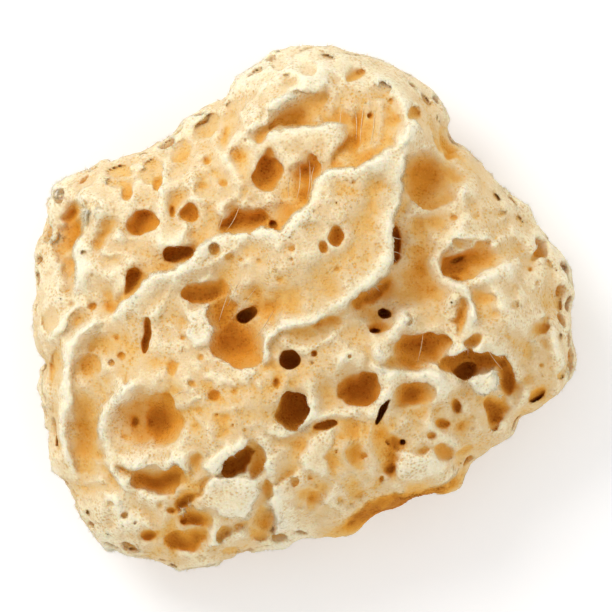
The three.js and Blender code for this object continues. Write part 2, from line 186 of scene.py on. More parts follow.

# Hollows: middle, half breadths, turn, depth, darkness of the floor, which is painted shade and also deepens
# the cut, and how far it leans, when it does
Hollow = namedtuple("Hollow", "cx cy rx ry turn deep darkness lean_x lean_y", defaults=(0, 0))
HOLLOWS = [Hollow(*row) for row in [
    # the pool at the low end of the great fold, and its trough
    (-16.2, -7.6, 6.6, 6.4, 20, 9, 0.5, -1.2, -2.0), (-14.2, -1.8, 2.5, 1.7, 35, 12, 0.92, -0.8, -0.6),
    (-24.2, 3.4, 6.0, 3.0, 4, 8, 0.46, -1.2, -0.6), (-20.8, -9.8, 3.2, 3.2, 0, 9, 0.46, 0, -0.6),
    (-14.6, -12.2, 3.8, 2.9, 20, 9, 0.5, 0.4, -0.4), (-20, -2.4, 4.2, 4.0, 30, 8, 0.42, -1.2, 0),
    # dark holes beside the fold
    (-4, -13.3, 2.5, 2.5, 0, 10, 0.95, 0.2, -0.4), (2.0, -11.7, 0.8, 0.8, 0, 3, 0.8),
    (10.7, -12.4, 0.5, 0.5, 0, 2, 0.6), (-7.2, -18.9, 0.9, 1.2, 0, 3, 0.5),
    (1.5, -14.1, 0.5, 0.5, 0, 2, 0.4), (6.4, -15.2, 0.9, 0.8, 0, 2, 0.35),
    (7.3, 17.3, 2.1, 2.2, 0, 7, 0.5, 0.2, -0.2), (4.1, 14.4, 1.2, 1.6, 0, 4, 0.5),
    (7.6, 9.1, 0.7, 0.5, 20, 1.6, 0.2), (-6.6, 6.6, 0.9, 0.6, 0, 1.6, 0.3),
    (-22.9, 14.1, 1.5, 1.5, 0, 4, 0.5, 0.2, 0.2), (-19, 12.3, 1.2, 0.9, 30, 2.6, 0.3),
    (22.3, 15.2, 1.5, 4.6, -4, 12, 1.0, -1.6, 0), (16.6, 2.8, 5.2, 2.0, 42, 9, 0.62, -1.4, 1.2),
    # the middle of the lower half
    (12.6, -20.4, 5.8, 4.4, -8, 12, 0.55, 1.4, -0.6), (-3.4, -26.1, 4.5, 4.7, 20, 12, 0.85, 2.0, 0.8),
    (4.9, -29.6, 2.9, 1.0, 14, 7, 0.85, 0, 0.4), (18.7, -26.1, 3.5, 0.8, 62, 9, 1.0),
    (24.1, -33.7, 0.7, 0.8, 0, 5, 1.0), (28.8, -36, 1.1, 0.6, 0, 3, 0.4),
    (21.4, -40.4, 0.9, 1.2, -30, 4, 0.6), (18.7, -43, 0.6, 0.9, -20, 3, 0.5),
    (26.6, -22.6, 5.4, 3.0, 8, 6, 0.26, 0, 2.0), (29.4, -20.4, 1.8, 0.7, 0, 4, 0.4, 0, 0.6),
    # under the knob, and the dark cavity to its right
    (28.6, -10.8, 7.4, 4.0, 8, 10, 0.5, 0.6, 0.8), (23.2, -13.6, 3.2, 2.0, 0, 6, 0.4, -0.6, 0),
    (41, -14.4, 8.8, 3.0, 0, 13, 0.86, 0, 1.2), (39.4, -16, 3.4, 2.2, 0, 12, 1.0, 0, -0.4),
    (49.2, -17.6, 2.6, 4.4, 10, 10, 0.6, 0, 0.6), (47.2, -25, 3.0, 4.6, 0, 9, 0.55, -0.4, 1.0),
    (46.8, -29, 1.5, 2.6, 0, 5, 0.36, 0, 1), (19.4, -1.7, 1.6, 1.2, -15, 8, 1.0),
    (18.4, -5, 3.0, 1.4, 12, 5, 0.5, -0.4, -0.8), (17, -6.2, 1.6, 0.6, 0, 7, 0.9),
    (41.4, -8.6, 2.6, 1.7, 38, 7, 0.6, -1.0, -0.8), (25.2, -3.4, 1.1, 1.5, 0, 3, 0.4),
    (38.2, -3, 4.0, 1.0, 74, 4, 0.36, 0, -0.6), (36, 1, 0.6, 0.6, 0, 2, 0.4),
    # the right flank
    (42, 11.2, 8.8, 3.6, 17, 10, 0.5, -0.6, -0.4), (50.2, 13.2, 3.6, 1.6, 24, 6, 0.5),
    (38.4, 15.4, 2.6, 1.3, -10, 5, 0.5), (37.6, 11.5, 2.6, 0.7, 24, 8, 0.9),
    (37.4, 6.9, 1.8, 0.6, -16, 7, 0.9), (39.6, 15.6, 2.2, 0.9, 10, 5, 0.5),
    (50.2, 14.6, 1.8, 0.8, 10, 4, 0.45, 0, 0.3), (57.1, 12.5, 1.0, 1.8, -32, 6, 0.6),
    (55.8, 9.0, 0.6, 0.6, 0, 3, 0.6), (60.6, 10.6, 0.6, 1.4, 30, 3, 0.4), (63.2, 9.4, 1.2, 1.2, 0, 4, 0.4),
    (57.5, 17.6, 0.5, 0.4, 0, 1.5, 0.2), (55.6, 21.4, 0.7, 0.6, 0, 1.5, 0.2),
    (48.3, 23.1, 1.5, 0.8, 12, 1.6, 0.25), (51.6, 16.8, 0.5, 0.5, 0, 2, 0.6),
    (45.5, 1.9, 1.4, 1.0, 0, 1.4, 0.25), (46.6, -2, 1.6, 1.0, 10, 1.4, 0.25),
    (58.2, -5.4, 2.6, 1.5, 10, 4, 0.4, 0.3, -0.4), (59.6, -3.2, 1.2, 1.0, 40, 3, 0.3),
    (58.5, -14.6, 0.7, 0.6, 0, 2, 0.35), (65.8, -14.7, 0.9, 1.0, 0, 3, 0.35),
    (66.6, -12.2, 0.8, 0.6, 0, 2, 0.3), (55, -10.6, 1.2, 2.0, 10, 1.6, 0.2),
    (64, -6.6, 0.9, 1.8, -20, 1.6, 0.2), (57.6, -23.2, 1.9, 3.6, -36, 4, 0.42, -0.4, -0.2),
    (51.6, -23.7, 0.8, 0.7, 0, 2, 0.3),
    # the pocket right of the great fold
    (32, 32.4, 6.6, 7.4, -10, 8, 0.36, -2.0, -1.6), (29.6, 28, 2.6, 1.8, -8, 6, 0.4, -0.4, -0.6),
    (38.5, 32, 2.1, 2.0, 20, 2.6, 0.4), (36.4, 21.9, 1.0, 0.8, 0, 3, 0.5, 0.2, 0),
    (34.2, 21.7, 2.6, 1.6, 10, 1.4, 0.25), (30.1, 38.3, 0.6, 0.5, 0, 1.4, 0.4),
    (26.8, 47.6, 1.5, 2.0, 0, 8, 0.75), (28.1, 48.8, 0.4, 0.9, 0, 3, 0.5),
    # the top lobe and the arch under it
    (12.1, 57.3, 2.7, 1.2, 34, 6, 0.6), (0.3, 59, 2.3, 1.6, 12, 3.4, 0.35, 0.3, -0.6),
    (-7, 60, 2.0, 1.5, 0, 3, 0.3, 0, -0.4), (-4.8, 57.2, 0.7, 0.5, 0, 2, 0.3),
    (-8, 53, 4.0, 2.2, 25, 2.2, 0.16, 0, -0.4), (5.4, 55.6, 0.5, 0.4, 0, 1.2, 0.2),
    (-2.6, 47.8, 7.6, 3.8, 32, 3, 0.12, 0.3, 0.8), (-10.8, 42.4, 2.4, 1.5, 55, 5, 0.4),
    (18.8, 54.2, 3.0, 2.2, 20, 2, 0.25), (-9.6, 32.4, 3.6, 4.4, -8, 9, 0.5, -0.4, 0.8),
    (-8.9, 36.4, 1.4, 2.6, 0, 7, 0.5), (0.6, 33.0, 2.4, 4.6, -8, 5, 0.2, 1.6, 1.0),
    (-14.8, 20.8, 6.2, 3.5, 12, 9, 0.44, 0.4, -1.0), (-7.9, 19.7, 1.1, 1.4, 0, 6, 0.95),
    (-10, 19.5, 0.4, 0.9, 0, 4, 0.95),
    # the upper left
    (-13.7, 48, 0.8, 0.7, 0, 1.5, 0.2), (-18.6, 50.2, 1.6, 0.8, 10, 2, 0.25),
    (-20.1, 42.5, 0.6, 2.0, -6, 4, 0.6), (-24.4, 45.4, 3.8, 2.3, 36, 4, 0.38, 0, -0.5),
    (-27.5, 41.7, 0.8, 0.7, 0, 2, 0.4), (-24.5, 35.8, 0.8, 0.9, 0, 3, 0.6),
    (-31.4, 38.3, 2.0, 3.0, -22, 4.4, 0.42, 0.6, -0.4), (-34.7, 41.9, 0.9, 1.4, -20, 3, 0.4),
    (-39.3, 38.4, 0.6, 0.6, 0, 1.6, 0.3), (-38.6, 33, 3.0, 3.4, 20, 3.2, 0.32, 0.4, -1.0),
    (-36.8, 30.2, 1.3, 2.0, -10, 6, 0.7), (-46.4, 33.9, 3.2, 1.7, -4, 3, 0.25, 0.2, -0.6),
    (-51.5, 34.9, 1.0, 0.9, 0, 2, 0.3), (-56, 32.5, 3.2, 1.3, 20, 3, 0.25, 0.2, -0.3),
    (-48.3, 30.6, 2.2, 0.9, -20, 2.6, 0.35), (-44.4, 27.9, 1.4, 2.0, -10, 5, 0.55),
    (-45.6, 30.4, 1.0, 0.9, 0, 3, 0.4), (-33, 23.4, 0.7, 1.6, 0, 5, 0.7),
    (-28.8, 22.9, 2.3, 2.4, 0, 6, 0.58, 0.3, 0), (-40.4, 20.8, 4.0, 3.0, 16, 8, 0.56, 0.4, -0.2),
    (-31.4, 12.9, 4.3, 2.5, -6, 8, 0.75, 0, 0.2), (-42.9, 5.4, 2.0, 4.2, -16, 8, 0.62, -0.4, 0.3),
    (-39.4, -7.2, 1.0, 4.1, -5, 6, 0.8, 0.2, 0), (-54.6, 22.8, 3.6, 2.8, 40, 2.4, 0.1, 0.6, 0.3),
    (-60, 16.6, 4.0, 2.8, 40, 1.6, 0.05), (-67.3, 11.2, 0.9, 2.0, 0, 3, 0.35),
    (-63.6, -3.2, 2.3, 3.3, -14, 3.0, 0.3, 0, -0.6), (-58.2, 0.5, 0.8, 0.6, 0, 2, 0.35),
    (-53, 0, 1.2, 0.9, 20, 3.4, 0.5), (-57, -4.2, 4.8, 2.4, 42, 1.2, 0.1, 0.2, -0.2),
    (-48.6, -0.7, 0.5, 1.0, 10, 3, 0.4), (-60, 9, 0.5, 0.6, 0, 2, 0.4), (-58.5, 7.7, 0.9, 0.5, 30, 2, 0.4),
    (-30.4, -7.9, 0.7, 0.7, 0, 2.4, 0.45),
    # the lower left
    (-53.4, -14.7, 2.6, 2.5, 20, 3, 0.14, 0, 0.4), (-51.4, -16.1, 0.5, 0.5, 0, 1.6, 0.5),
    (-62.4, -16.4, 2.0, 5.0, -4, 2, 0.3, 0.2, 0), (-44.6, -18.6, 0.6, 1.5, 0, 2.4, 0.35),
    (-55.4, -25.4, 2.6, 5.0, 0, 2, 0.2, -0.2, 0), (-54.6, -37.0, 3.0, 4.4, 0, 1.6, 0.1, -0.2, 0),
    (-35.4, -28.2, 4.6, 6.4, 0, 8, 0.3, 0.8, 0.4), (-42.6, -28.5, 0.9, 1.3, 0, 4, 0.6, 0.2, 0),
    (-38.2, -28.8, 1.3, 1.6, 0, 9, 0.72), (-37.2, -43, 6.2, 3.7, 4, 9, 0.44, 0.3, 0.6),
    (-31.6, -40.4, 1.4, 1.1, 0, 6, 0.6), (-36.3, -49.4, 0.8, 0.9, 0, 3, 0.5),
    (-45.2, -52, 0.9, 0.9, 0, 3, 0.6), (-42.7, -50.1, 0.5, 0.4, 0, 1.6, 0.4),
    (-39.2, -56.9, 2.1, 1.2, 12, 4, 0.6), (-36.9, -56.2, 0.4, 0.5, 0, 2, 0.5),
    (-30.9, -58.4, 4.6, 2.6, 4, 6, 0.5, 0.4, 0), (-21.3, -56.8, 1.2, 2.3, -28, 4, 0.6),
    (-49.9, -57.6, 1.6, 3.1, 30, 5, 0.42), (-33.9, -36.8, 0.5, 1.2, 0, 4, 0.5),
    (-27.1, -38, 1.4, 1.4, 0, 3, 0.4), (-22.5, -22.2, 1.4, 1.4, 0, 3, 0.35),
    (-33, -15.3, 1.2, 1.9, -10, 3, 0.4), (-34.4, -14.2, 0.4, 0.4, 0, 1.6, 0.4),
    (-31.6, -14.4, 0.4, 0.5, 0, 1.6, 0.5), (-26, -12.6, 0.8, 0.9, 0, 3, 0.45),
    (-24.4, -15.7, 0.5, 0.6, 0, 2, 0.4), (-28.2, -19.1, 1.2, 0.8, -30, 2.4, 0.35),
    (-26.2, -10.2, 0.5, 0.4, 0, 1.4, 0.3),
    # round the edge
    (20, 59.6, 2.6, 0.9, -30, 4, 0.3), (30.4, 52, 1.0, 2.4, 30, 4, 0.3), (6, 62.4, 2.4, 0.9, -10, 4, 0.3),
    (-12, 59, 1.5, 1.0, 40, 4, 0.3), (33, 47, 0.9, 1.8, 10, 4, 0.3), (48, 27.4, 1.8, 1.0, -40, 4, 0.3),
    (53.4, 21.6, 1.3, 0.8, -40, 4, 0.3), (63, 0.6, 1.0, 2.2, 8, 4, 0.3), (-62, -34, 1.2, 2.2, 20, 4, 0.3),
    (-60, -45.4, 1.4, 2.2, 30, 4, 0.3), (-55.4, -51.4, 1.2, 1.8, 30, 4, 0.3),
    (-43, -60.6, 2.4, 1.0, -10, 4, 0.3), (-19, -61, 2.2, 0.9, 10, 4, 0.3),
    (44.6, -34.6, 2.0, 0.9, 35, 4, 0.3), (-66, 5, 0.9, 2.2, 0, 4, 0.3), (-30.4, 44.2, 1.9, 0.8, 30, 4, 0.3),
    (63.4, -17.6, 1.4, 0.9, -20, 4, 0.3),
    # the torn bottom edge
    (-16.4, -38.8, 5.0, 2.6, 44, 11, 0.95, -0.8, 0.8), (-12.6, -37.6, 2.4, 4.4, 6, 6, 0.52, 0, -0.8),
    (-30.4, -48.6, 2.0, 1.5, 40, 3.4, 0.35), (-26.2, -53.4, 3.0, 1.3, 0, 3.4, 0.4),
    (-33.4, -50.8, 1.2, 0.8, 0, 3, 0.5), (-30.4, -53.6, 0.9, 0.7, 0, 3, 0.6),
    (-11, -52.6, 2.0, 3.2, 0, 4, 0.55, 0.3, 0), (-11.6, -57, 2.0, 1.4, 0, 3, 0.5),
    (-19.6, -52.4, 0.8, 0.5, 0, 2.4, 0.5), (-9.4, -45.4, 1.2, 2.4, 10, 4, 0.45),
    (37.1, -24.7, 1.3, 1.5, 0, 5, 0.65, 0.2, 0), (33.8, -29.2, 1.7, 1.1, -8, 4, 0.6),
    (31.1, -32.1, 1.2, 1.0, 0, 3, 0.45), (33.9, -36.6, 2.2, 2.3, 20, 4, 0.45, 0, 0.5),
    (39.2, -36, 2.2, 0.7, 30, 3, 0.4), (38.3, -39.3, 0.6, 0.5, 0, 1.5, 0.3),
]]

# Torn plates: outline, how high they stand, and how much paler they are
PLATES = [
    ([(-31.2, -50.6), (-25.5, -45.9), (-22.9, -41.6), (-17, -41.4), (-12.1, -42), (-11.3, -45.8),
      (-14.3, -52.4), (-21.6, -51.6)], 2.6, 0.10),
    ([(-25.6, -38.6), (-23.2, -36.2), (-20.6, -33.4), (-14.3, -33.4), (-17, -36.4), (-19.4, -38.2),
      (-22.6, -40.8)], 2.2, 0.12),
    ([(-1, -37), (2, -32.6), (6.8, -30.8), (7.4, -32.6), (4.4, -37.4), (5.2, -42.6), (-1.4, -41)], 1.2, 0.12),
    ([(21.8, -36.2), (23.4, -42.6), (27, -43.4), (33.6, -42), (33.8, -38.8), (27, -36.6)], 1.2, 0.10),
    ([(40.4, -18.6), (42, -16.4), (44.8, -15.6), (47.4, -16.6), (48, -22.4), (45.6, -22),
      (42.6, -21.6)], 4.0, 0.06),
    ([(-25, -0.4), (-23.6, -0.6), (-22.4, -5), (-23.8, -9), (-27, -10), (-30, -6), (-29, -1.6)], 1.0, 0.10),
]

# Calm places, where the skin is smooth: middle, half breadths, turn, and how calm
CALM = [
    (8, 15, 30, 9, 48, 0.9), (-2, 38, 9, 6, 20, 0.7), (-41, -28, 10, 8, 0, 0.8), (-55, -29, 4, 12, 0, 0.6),
    (13, 45, 8, 12, 0, 0.95), (-18, -6, 6, 9, 0, 0.6), (29, 6, 7, 13, -8, 0.85), (-44, -9, 8, 7, 0, 0.5),
    (20, -50, 22, 5, 28, 1.0), (45, 20, 8, 6, 0, 0.7),
]

# The smooth ledge below the torn lower right edge: middle, half breadths, turn
LEDGE = [(12, -54.4, 13, 5, 33), (26, -50, 10, 5, 24), (37, -45, 8, 5, 35), (58, -24, 5, 6, -36)]

# Nicks (+) and bulges (-) of the outline: middle, radius, how far they move it
NICKS = [
    (39, 42.4, 3.5, 1.2), (23, -51.6, 8, 1.7), (54, -28.8, 3.2, 2.2), (-67, 14, 4, -0.8),
    (-24, -65, 8, -1.8), (-62, -41, 6, -1.2), (34.6, 49, 3, -0.8), (-65.6, -14, 5, 0.9),
    (-65.6, -30, 5, 1.0), (45, -37.6, 5, 0.8), (-34, 43.5, 9, 0.6), (-65, 27, 6, -2.4), (-18, 56.4, 5, -1.4),
    (66.6, 7, 5, -1.8), (64, -21, 4, -1.0), (-58, -50, 6, -1.0), (-46, -63, 5, -0.8), (7, -58, 6, -0.8),
    (36, -46.4, 4, -0.8), (59, 19, 6, 0.3),
]

# Stains and painted shade: middle, half breadths, turn, and how much darker (+) or paler (-) the skin is
# there. Some are the sponge's own tints; others are painted shade in pockets and under the torn lower edge,
# and painted light on slopes turned from the lamp
STAINS_AND_PAINTED_SHADE = [
    (9, 12, 15, 6, 48, 0.06), (15, 26, 9, 4, 52, 0.03), (-8, 3, 9, 5, 40, 0.12), (30, 6, 6, 13, -8, 0.04),
    (29.5, 13, 6, 11, -8, 0.07), (14, 46, 7, 10, -10, 0.14), (14, 29, 6, 5, 52, 0.03),
    (-2, 28, 5, 5, 0, 0.12), (-8, 27, 5, 4, 0, 0.06), (-27, 26, 10, 7, 25, 0.03), (-21, 0, 7, 4, 50, 0.13),
    (-17, -7, 6, 7, 20, 0.07), (-21, -28, 7, 8, 20, 0.17), (-19, -18, 6, 4, 0, -0.1),
    (8, -36, 10, 9, 0, 0.18), (0, -47, 4, 5, 0, 0.14), (20, -33, 3, 8, 10, 0.2), (18, -31, 14, 6, 0, 0.05),
    (27, -24, 4, 4, 0, 0.14), (-49, 18, 3, 6, -20, 0.02), (-58, 19, 8, 5, 38, 0.14),
    (-57, 8, 6, 10, 0, -0.2), (-57, -6, 6, 6, 0, -0.1), (-59, -15, 2, 6, 0, -0.14),
    (-38, -2, 8, 5, 0, -0.02), (-45, -10, 6, 5, 0, 0.1), (-33, -19, 7, 6, 0, 0.18),
    (-30, -12, 7, 6, 0, -0.1), (-6, -20, 7, 7, 0, 0.2), (-55, -30, 3, 11, 0, 0.06),
    (-36, -29, 5, 6, 0, 0.14), (-45, -51, 7, 6, 0, -0.16), (-5, -54, 6, 7, 0, -0.2),
    (2, -54, 8, 5, 20, -0.1), (-33, -58, 8, 5, 0, 0.2), (-34, -42, 4, 3, 0, 0.1),
    (13, -53.4, 10, 3.4, 33, 0.42), (25, -49, 7, 3.0, 24, 0.5), (35, -45.6, 5, 1.8, 24, 0.36),
    (-29, -50, 6, 5, 30, 0.26), (-29, -45, 3, 4, 0, 0.2), (-12, -55, 4, 4, 0, 0.12),
    (36, -42, 8, 4, 20, 0.08), (-7, -16, 6, 4, 0, 0.08), (55, -3, 12, 14, 0, -0.02), (45, 4, 6, 5, 0, 0.12),
    (46, -6, 6, 6, 0, 0.08), (50, -20, 9, 8, 0, 0.07), (54, 13, 9, 12, -30, -0.1), (46, -26, 4, 6, 0, 0.14),
    (59, -22, 3, 5, -36, 0.26), (36, 36, 7, 6, 30, 0.12), (30, 46, 3, 6, -20, 0.06),
    (-14.4, 33, 2.2, 5, 0, 0.3), (-4, 60, 14, 5, 0, -0.2), (18, 56, 8, 5, -20, -0.17),
    (-27, 44, 13, 6, 30, -0.1), (-18, 55, 6, 5, 0, -0.15),
]

# Long threads that lie over the skin and span its hollows: from x y, to x y
THREADS = [
    (-12.2, 4.6, -18.6, -3.4), (-16.2, 7, -19.4, 0), (-18.4, 5, -21.6, -4), (-8, -1, -12.6, -8),
    (14.8, 52, 13.4, 40), (12, 50, 12.4, 41), (9, 50, 8.6, 41), (17, 50, 15.6, 38.6), (19.4, 48, 18, 39.6),
    (0.8, 36, 0.2, 26.4), (2.2, 35, 1.6, 28.6), (-1.6, 35, -2.4, 26), (-3.6, 33, -4.2, 26.6),
    (3.6, 36.6, 3.4, 31.8), (-18.6, 24.6, -21.6, 18.6), (-16.4, 24.8, -20, 18.2), (20.6, 17.6, 24, 16.6),
    (20.4, 13.4, 23.8, 12.6), (-28.6, -20.6, -33, -22.4), (29, -6, 27.6, -14), (45, -11, 49, -16),
]


# ---------------------------------------------------------------- arithmetic on grids

def smooth_step(value, low, high):
    """0 below low, 1 above high, and a smooth rise between."""
    share = np.clip((value - low) / (high - low), 0.0, 1.0)
    return share * share * (3 - 2 * share)


def smooth_max(a, b, width):
    """The greater of two fields, with the crease between them rounded."""
    share = np.clip(0.5 + 0.5 * (a - b) / width, 0.0, 1.0)
    return b + (a - b) * share + width * share * (1 - share)


def unit(vectors):
    """Rows of vectors, each made one long."""
    return vectors / np.maximum(np.linalg.norm(vectors, axis=1, keepdims=True), 1e-6)


def spline_weights(places, count):
    """Cubic B-spline weights of count knots at places given in knot spacings."""
    start = np.floor(places).astype(int)
    t = places - start
    shares = [(1 - t) ** 3 / 6, (3 * t**3 - 6 * t**2 + 4) / 6,
              (-3 * t**3 + 3 * t**2 + 3 * t + 1) / 6, t**3 / 6]
    weights = np.zeros((len(places), count), np.float32)
    rows = np.arange(len(places))
    for offset, share in enumerate(shares):
        np.add.at(weights, (rows, np.clip(start + offset - 1, 0, count - 1)), share)
    return weights


def spread(knots, weights):
    """A field from its spline knots and the weights along each axis."""
    for axis, along in enumerate(weights):
        knots = np.moveaxis(np.tensordot(along, knots, axes=(1, axis)), 0, axis)
    return np.ascontiguousarray(knots, np.float32)


def noise(over, wavelength, seed):
    """Smooth random field over some of the axes, within about -1 and 1."""
    rng = np.random.default_rng(SEED * 1000 + seed)
    places = [(axis - axis[0]) / wavelength * 2 + 1.5 for axis in over]
    counts = [int(place[-1]) + 4 for place in places]
    knots = rng.uniform(-1, 1, counts).astype(np.float32)
    return 1.8 * spread(knots, [spline_weights(p, n) for p, n in zip(places, counts)])


def blurred(field, reach):
    """The field averaged over a box three times, which is close to a bell of that reach."""
    cells = max(1, int(round(reach / STEP)))
    for axis in range(field.ndim):
        for _ in range(3):
            pad = [(0, 0)] * field.ndim
            pad[axis] = (cells + 1, cells)
            total = np.cumsum(np.pad(field, pad, mode="edge"), axis=axis, dtype=np.float32)
            size = field.shape[axis]
            upper = np.take(total, np.arange(2 * cells + 1, 2 * cells + 1 + size), axis=axis)
            lower = np.take(total, np.arange(0, size), axis=axis)
            field = (upper - lower) / (2 * cells + 1)
    return field


# ---------------------------------------------------------------- the plain body, from the frame

def rows_of(items, name, kind=np.float32):
    """A property with three values, read from every item of a mesh."""
    values = np.empty(len(items) * 3, kind)
    items.foreach_get(name, values)
    return values.reshape(-1, 3)


def mesh_points(mesh):
    """The points in millimetres."""
    return rows_of(mesh.vertices, "co") / MM


def triangles_of(mesh):
    mesh.calc_loop_triangles()
    return rows_of(mesh.loop_triangles, "vertices", np.int32)


def closed_body(name):
    """Signed distance to a frame node's body with its narrow hollows filled: it is swollen, then shrunk."""
    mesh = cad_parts[name].data
    points, triangles = mesh_points(mesh), triangles_of(mesh).astype(np.uint32)
    scale = openvdb.createLinearTransform(voxelSize=COARSE_STEP)
    band = CLOSING / COARSE_STEP + 3
    swollen = openvdb.FloatGrid.createLevelSetFromPolygons(
        points, triangles=triangles, transform=scale, halfWidth=band)
    points, quads = swollen.convertToQuads(isovalue=CLOSING)
    closed = openvdb.FloatGrid.createLevelSetFromPolygons(
        points, quads=quads, transform=scale, exBandWidth=band, inBandWidth=2 * band + 6)
    first = [int(math.floor(axis[0] / COARSE_STEP)) - 3 for axis in axes]
    counts = [int((axis[-1] - axis[0]) / COARSE_STEP) + 8 for axis in axes]
    knots = np.zeros(counts, np.float32)
    closed.copyToArray(knots, ijk=tuple(first))
    places = [axis / COARSE_STEP - start for axis, start in zip(axes, first)]
    return spread(knots, [spline_weights(p, n) for p, n in zip(places, counts)]) + CLOSING


def top_of(field):
    """Height of the highest surface in each column."""
    inside = field < 0
    highest = inside.shape[2] - 1 - np.argmax(inside[:, :, ::-1], axis=2)
    highest = np.clip(highest, 0, inside.shape[2] - 2)
    rows, columns = np.indices(highest.shape)
    below = field[rows, columns, highest]
    above = field[rows, columns, highest + 1]
    share = np.clip(below / np.minimum(below - above, -1e-6), 0, 1)
    return np.where(inside.any(axis=2), axes[2][highest] + share * STEP, 0).astype(np.float32)


# ---------------------------------------------------------------- the relief seen from above

def smooth_line(points, spacing=1.2):
    """Points along a smooth curve through the given ones."""
    points = np.array(points, float)
    ends = np.vstack([2 * points[0] - points[1], points, 2 * points[-1] - points[-2]])
    line = []
    for a, b, c, d in zip(ends, ends[1:], ends[2:], ends[3:]):
        steps = max(2, int(np.hypot(*(c - b)) / spacing))
        for t in np.arange(steps) / steps:
            line.append(0.5 * (2 * b + (c - a) * t + (2 * a - 5 * b + 4 * c - d) * t**2
                               + (3 * b - a - 3 * c + d) * t**3))
    return np.array(line + [points[-1]])


def side_of_line(x, y, line):
    """Distance from a line, positive on the left of its way, and how far from the line's ends that is."""
    nearest = np.full(x.shape, 1e9, np.float32)
    signed = np.full(x.shape, 1e9, np.float32)
    run = np.zeros(x.shape, np.float32)
    passed = 0.0
    for (ax, ay), (bx, by) in zip(line, line[1:]):
        dx, dy = bx - ax, by - ay
        length = math.hypot(dx, dy)
        along = np.clip(((x - ax) * dx + (y - ay) * dy) / length**2, 0, 1)
        away = np.hypot(x - ax - along * dx, y - ay - along * dy)
        left = dx * (y - ay) - dy * (x - ax) > 0
        closer = away < nearest
        nearest = np.where(closer, away, nearest)
        signed = np.where(closer, np.where(left, away, -away), signed)
        run = np.where(closer, passed + along * length, run)
        passed += length
    return signed, np.minimum(run, passed - run)


def lip_profile(signed, high, breadth, fall, reach):
    """A crest that slopes gently on its right and falls away on its left."""
    gentle = high * np.exp(-(signed / breadth) ** 2)
    steep = (high + fall) * (1 - smooth_step(signed, 0.1, 1.3)) - fall
    steep = steep * np.where(steep < 0, np.exp(-(np.maximum(signed - 1.3, 0) / reach) ** 2), 1)
    return np.where(signed > 0, steep, gentle)


def ellipse_radius(x, y, middle, half, turn):
    """1 on the ellipse, less inside it."""
    c, s = math.cos(math.radians(turn)), math.sin(math.radians(turn))
    u = ((x - middle[0]) * c + (y - middle[1]) * s) / half[0]
    v = ((y - middle[1]) * c - (x - middle[0]) * s) / half[1]
    return np.hypot(u, v)


def inside_outline(x, y, outline):
    """Signed distance to an outline, positive inside."""
    line = np.array(list(outline) + [outline[0]], float)
    away = np.abs(side_of_line(x, y, line)[0])
    winding = np.zeros(x.shape, bool)
    for (ax, ay), (bx, by) in zip(line, line[1:]):
        if ay != by:
            crosses = (ay > y) != (by > y)
            winding ^= crosses & (x < (bx - ax) * (y - ay) / (by - ay) + ax)
    return np.where(winding, away, -away)


def bells(x, y, table):
    """The sum of a table of bells: middle, half breadths, turn and height."""
    total = np.zeros(x.shape, np.float32)
    for cx, cy, rx, ry, turn, high in table:
        total += high * np.exp(-ellipse_radius(x, y, (cx, cy), (rx, ry), turn) ** 2)
    return total


def top_relief(x, y):
    """The swells, bands and lips, over the view from above."""
    relief = bells(x, y, SWELLS)
    for line, high, half in BANDS:
        signed, from_end = side_of_line(x, y, smooth_line(line))
        relief += high * smooth_step(from_end, 0, half) * np.exp(-(signed / half) ** 2)
    uneven = 0.8 + 0.35 * noise(axes[:2], 7, 20)
    for line, high, breadth, fall, reach in LIPS:
        signed, from_end = side_of_line(x, y, smooth_line(line))
        relief += uneven * smooth_step(from_end, 0, 4) * lip_profile(signed, high, breadth, fall, reach)
    return relief


def funnels(x, y):
    """Every hollow draws the skin round it down a little, so that what is left between two is a ridge."""
    sunk = np.zeros(x.shape, np.float32)
    for cx, cy, rx, ry, turn, deep, _, lean_x, lean_y in HOLLOWS:
        middle = (cx - 0.5 * lean_x, cy - 0.5 * lean_y)
        half = (FUNNEL_BREADTH * rx + 0.5, FUNNEL_BREADTH * ry + 0.5)
        depth = min(FUNNEL_DEPTH * deep, 0.45 * min(rx, ry))
        sunk = np.maximum(sunk, depth * np.exp(-ellipse_radius(x, y, middle, half, turn) ** 2))
    return sunk


def rims(x, y):
    """The raised edge that overhangs a hollow, on the side that its floor leans to."""
    raised = np.zeros(x.shape, np.float32)
    for cx, cy, rx, ry, turn, _, _, lean_x, lean_y in HOLLOWS:
        lean = math.hypot(lean_x, lean_y)
        towards = ((x - cx) * lean_x + (y - cy) * lean_y) / np.maximum(np.hypot(x - cx, y - cy) * lean, 1e-3)
        share = 0.5 + 0.5 * towards if lean > 0.1 else 0.4
        thick = 0.9 / min(rx, ry) + 0.06
        ring = np.exp(-((ellipse_radius(x, y, (cx, cy), (rx, ry), turn) - 1.05 - thick) / thick) ** 2)
        raised = np.maximum(raised, min(RIM_HEIGHT, 0.3 * min(rx, ry)) * share * ring)
    return raised


def nick_field(x, y):
    """How far the nicks move the plain body's surface in."""
    moved = np.zeros(x.shape, np.float32)
    for cx, cy, radius, amount in NICKS:
        moved += amount * np.exp(-((x - cx) ** 2 + (y - cy) ** 2) / radius**2)
    return moved


def roughness(x, y):
    """1 where the skin is a mesh of ridges, less where it is calm."""
    rough = np.ones(x.shape, np.float32)
    for cx, cy, rx, ry, turn, calm in CALM:
        rough *= 1 - calm * np.exp(-ellipse_radius(x, y, (cx, cy), (rx, ry), turn) ** 4)
    for outline, _, _ in PLATES:
        rough *= 1 - 0.85 * smooth_step(inside_outline(x, y, outline), -1.0, 1.0)
    return rough


def ridges(over, wavelength, seed):
    """A net of thin ridges with broad furrows between them, about 0 on average."""
    return (1 - np.minimum(np.abs(noise(over, wavelength, seed)) * 1.5, 1)) ** 2 - 0.35


def plate_relief(x, y):
    """The torn plates, which stand up with a ragged steep edge."""
    relief = np.zeros(x.shape, np.float32)
    for outline, high, _ in PLATES:
        relief += high * smooth_step(inside_outline(x, y, outline), -0.5, 0.5)
    return relief


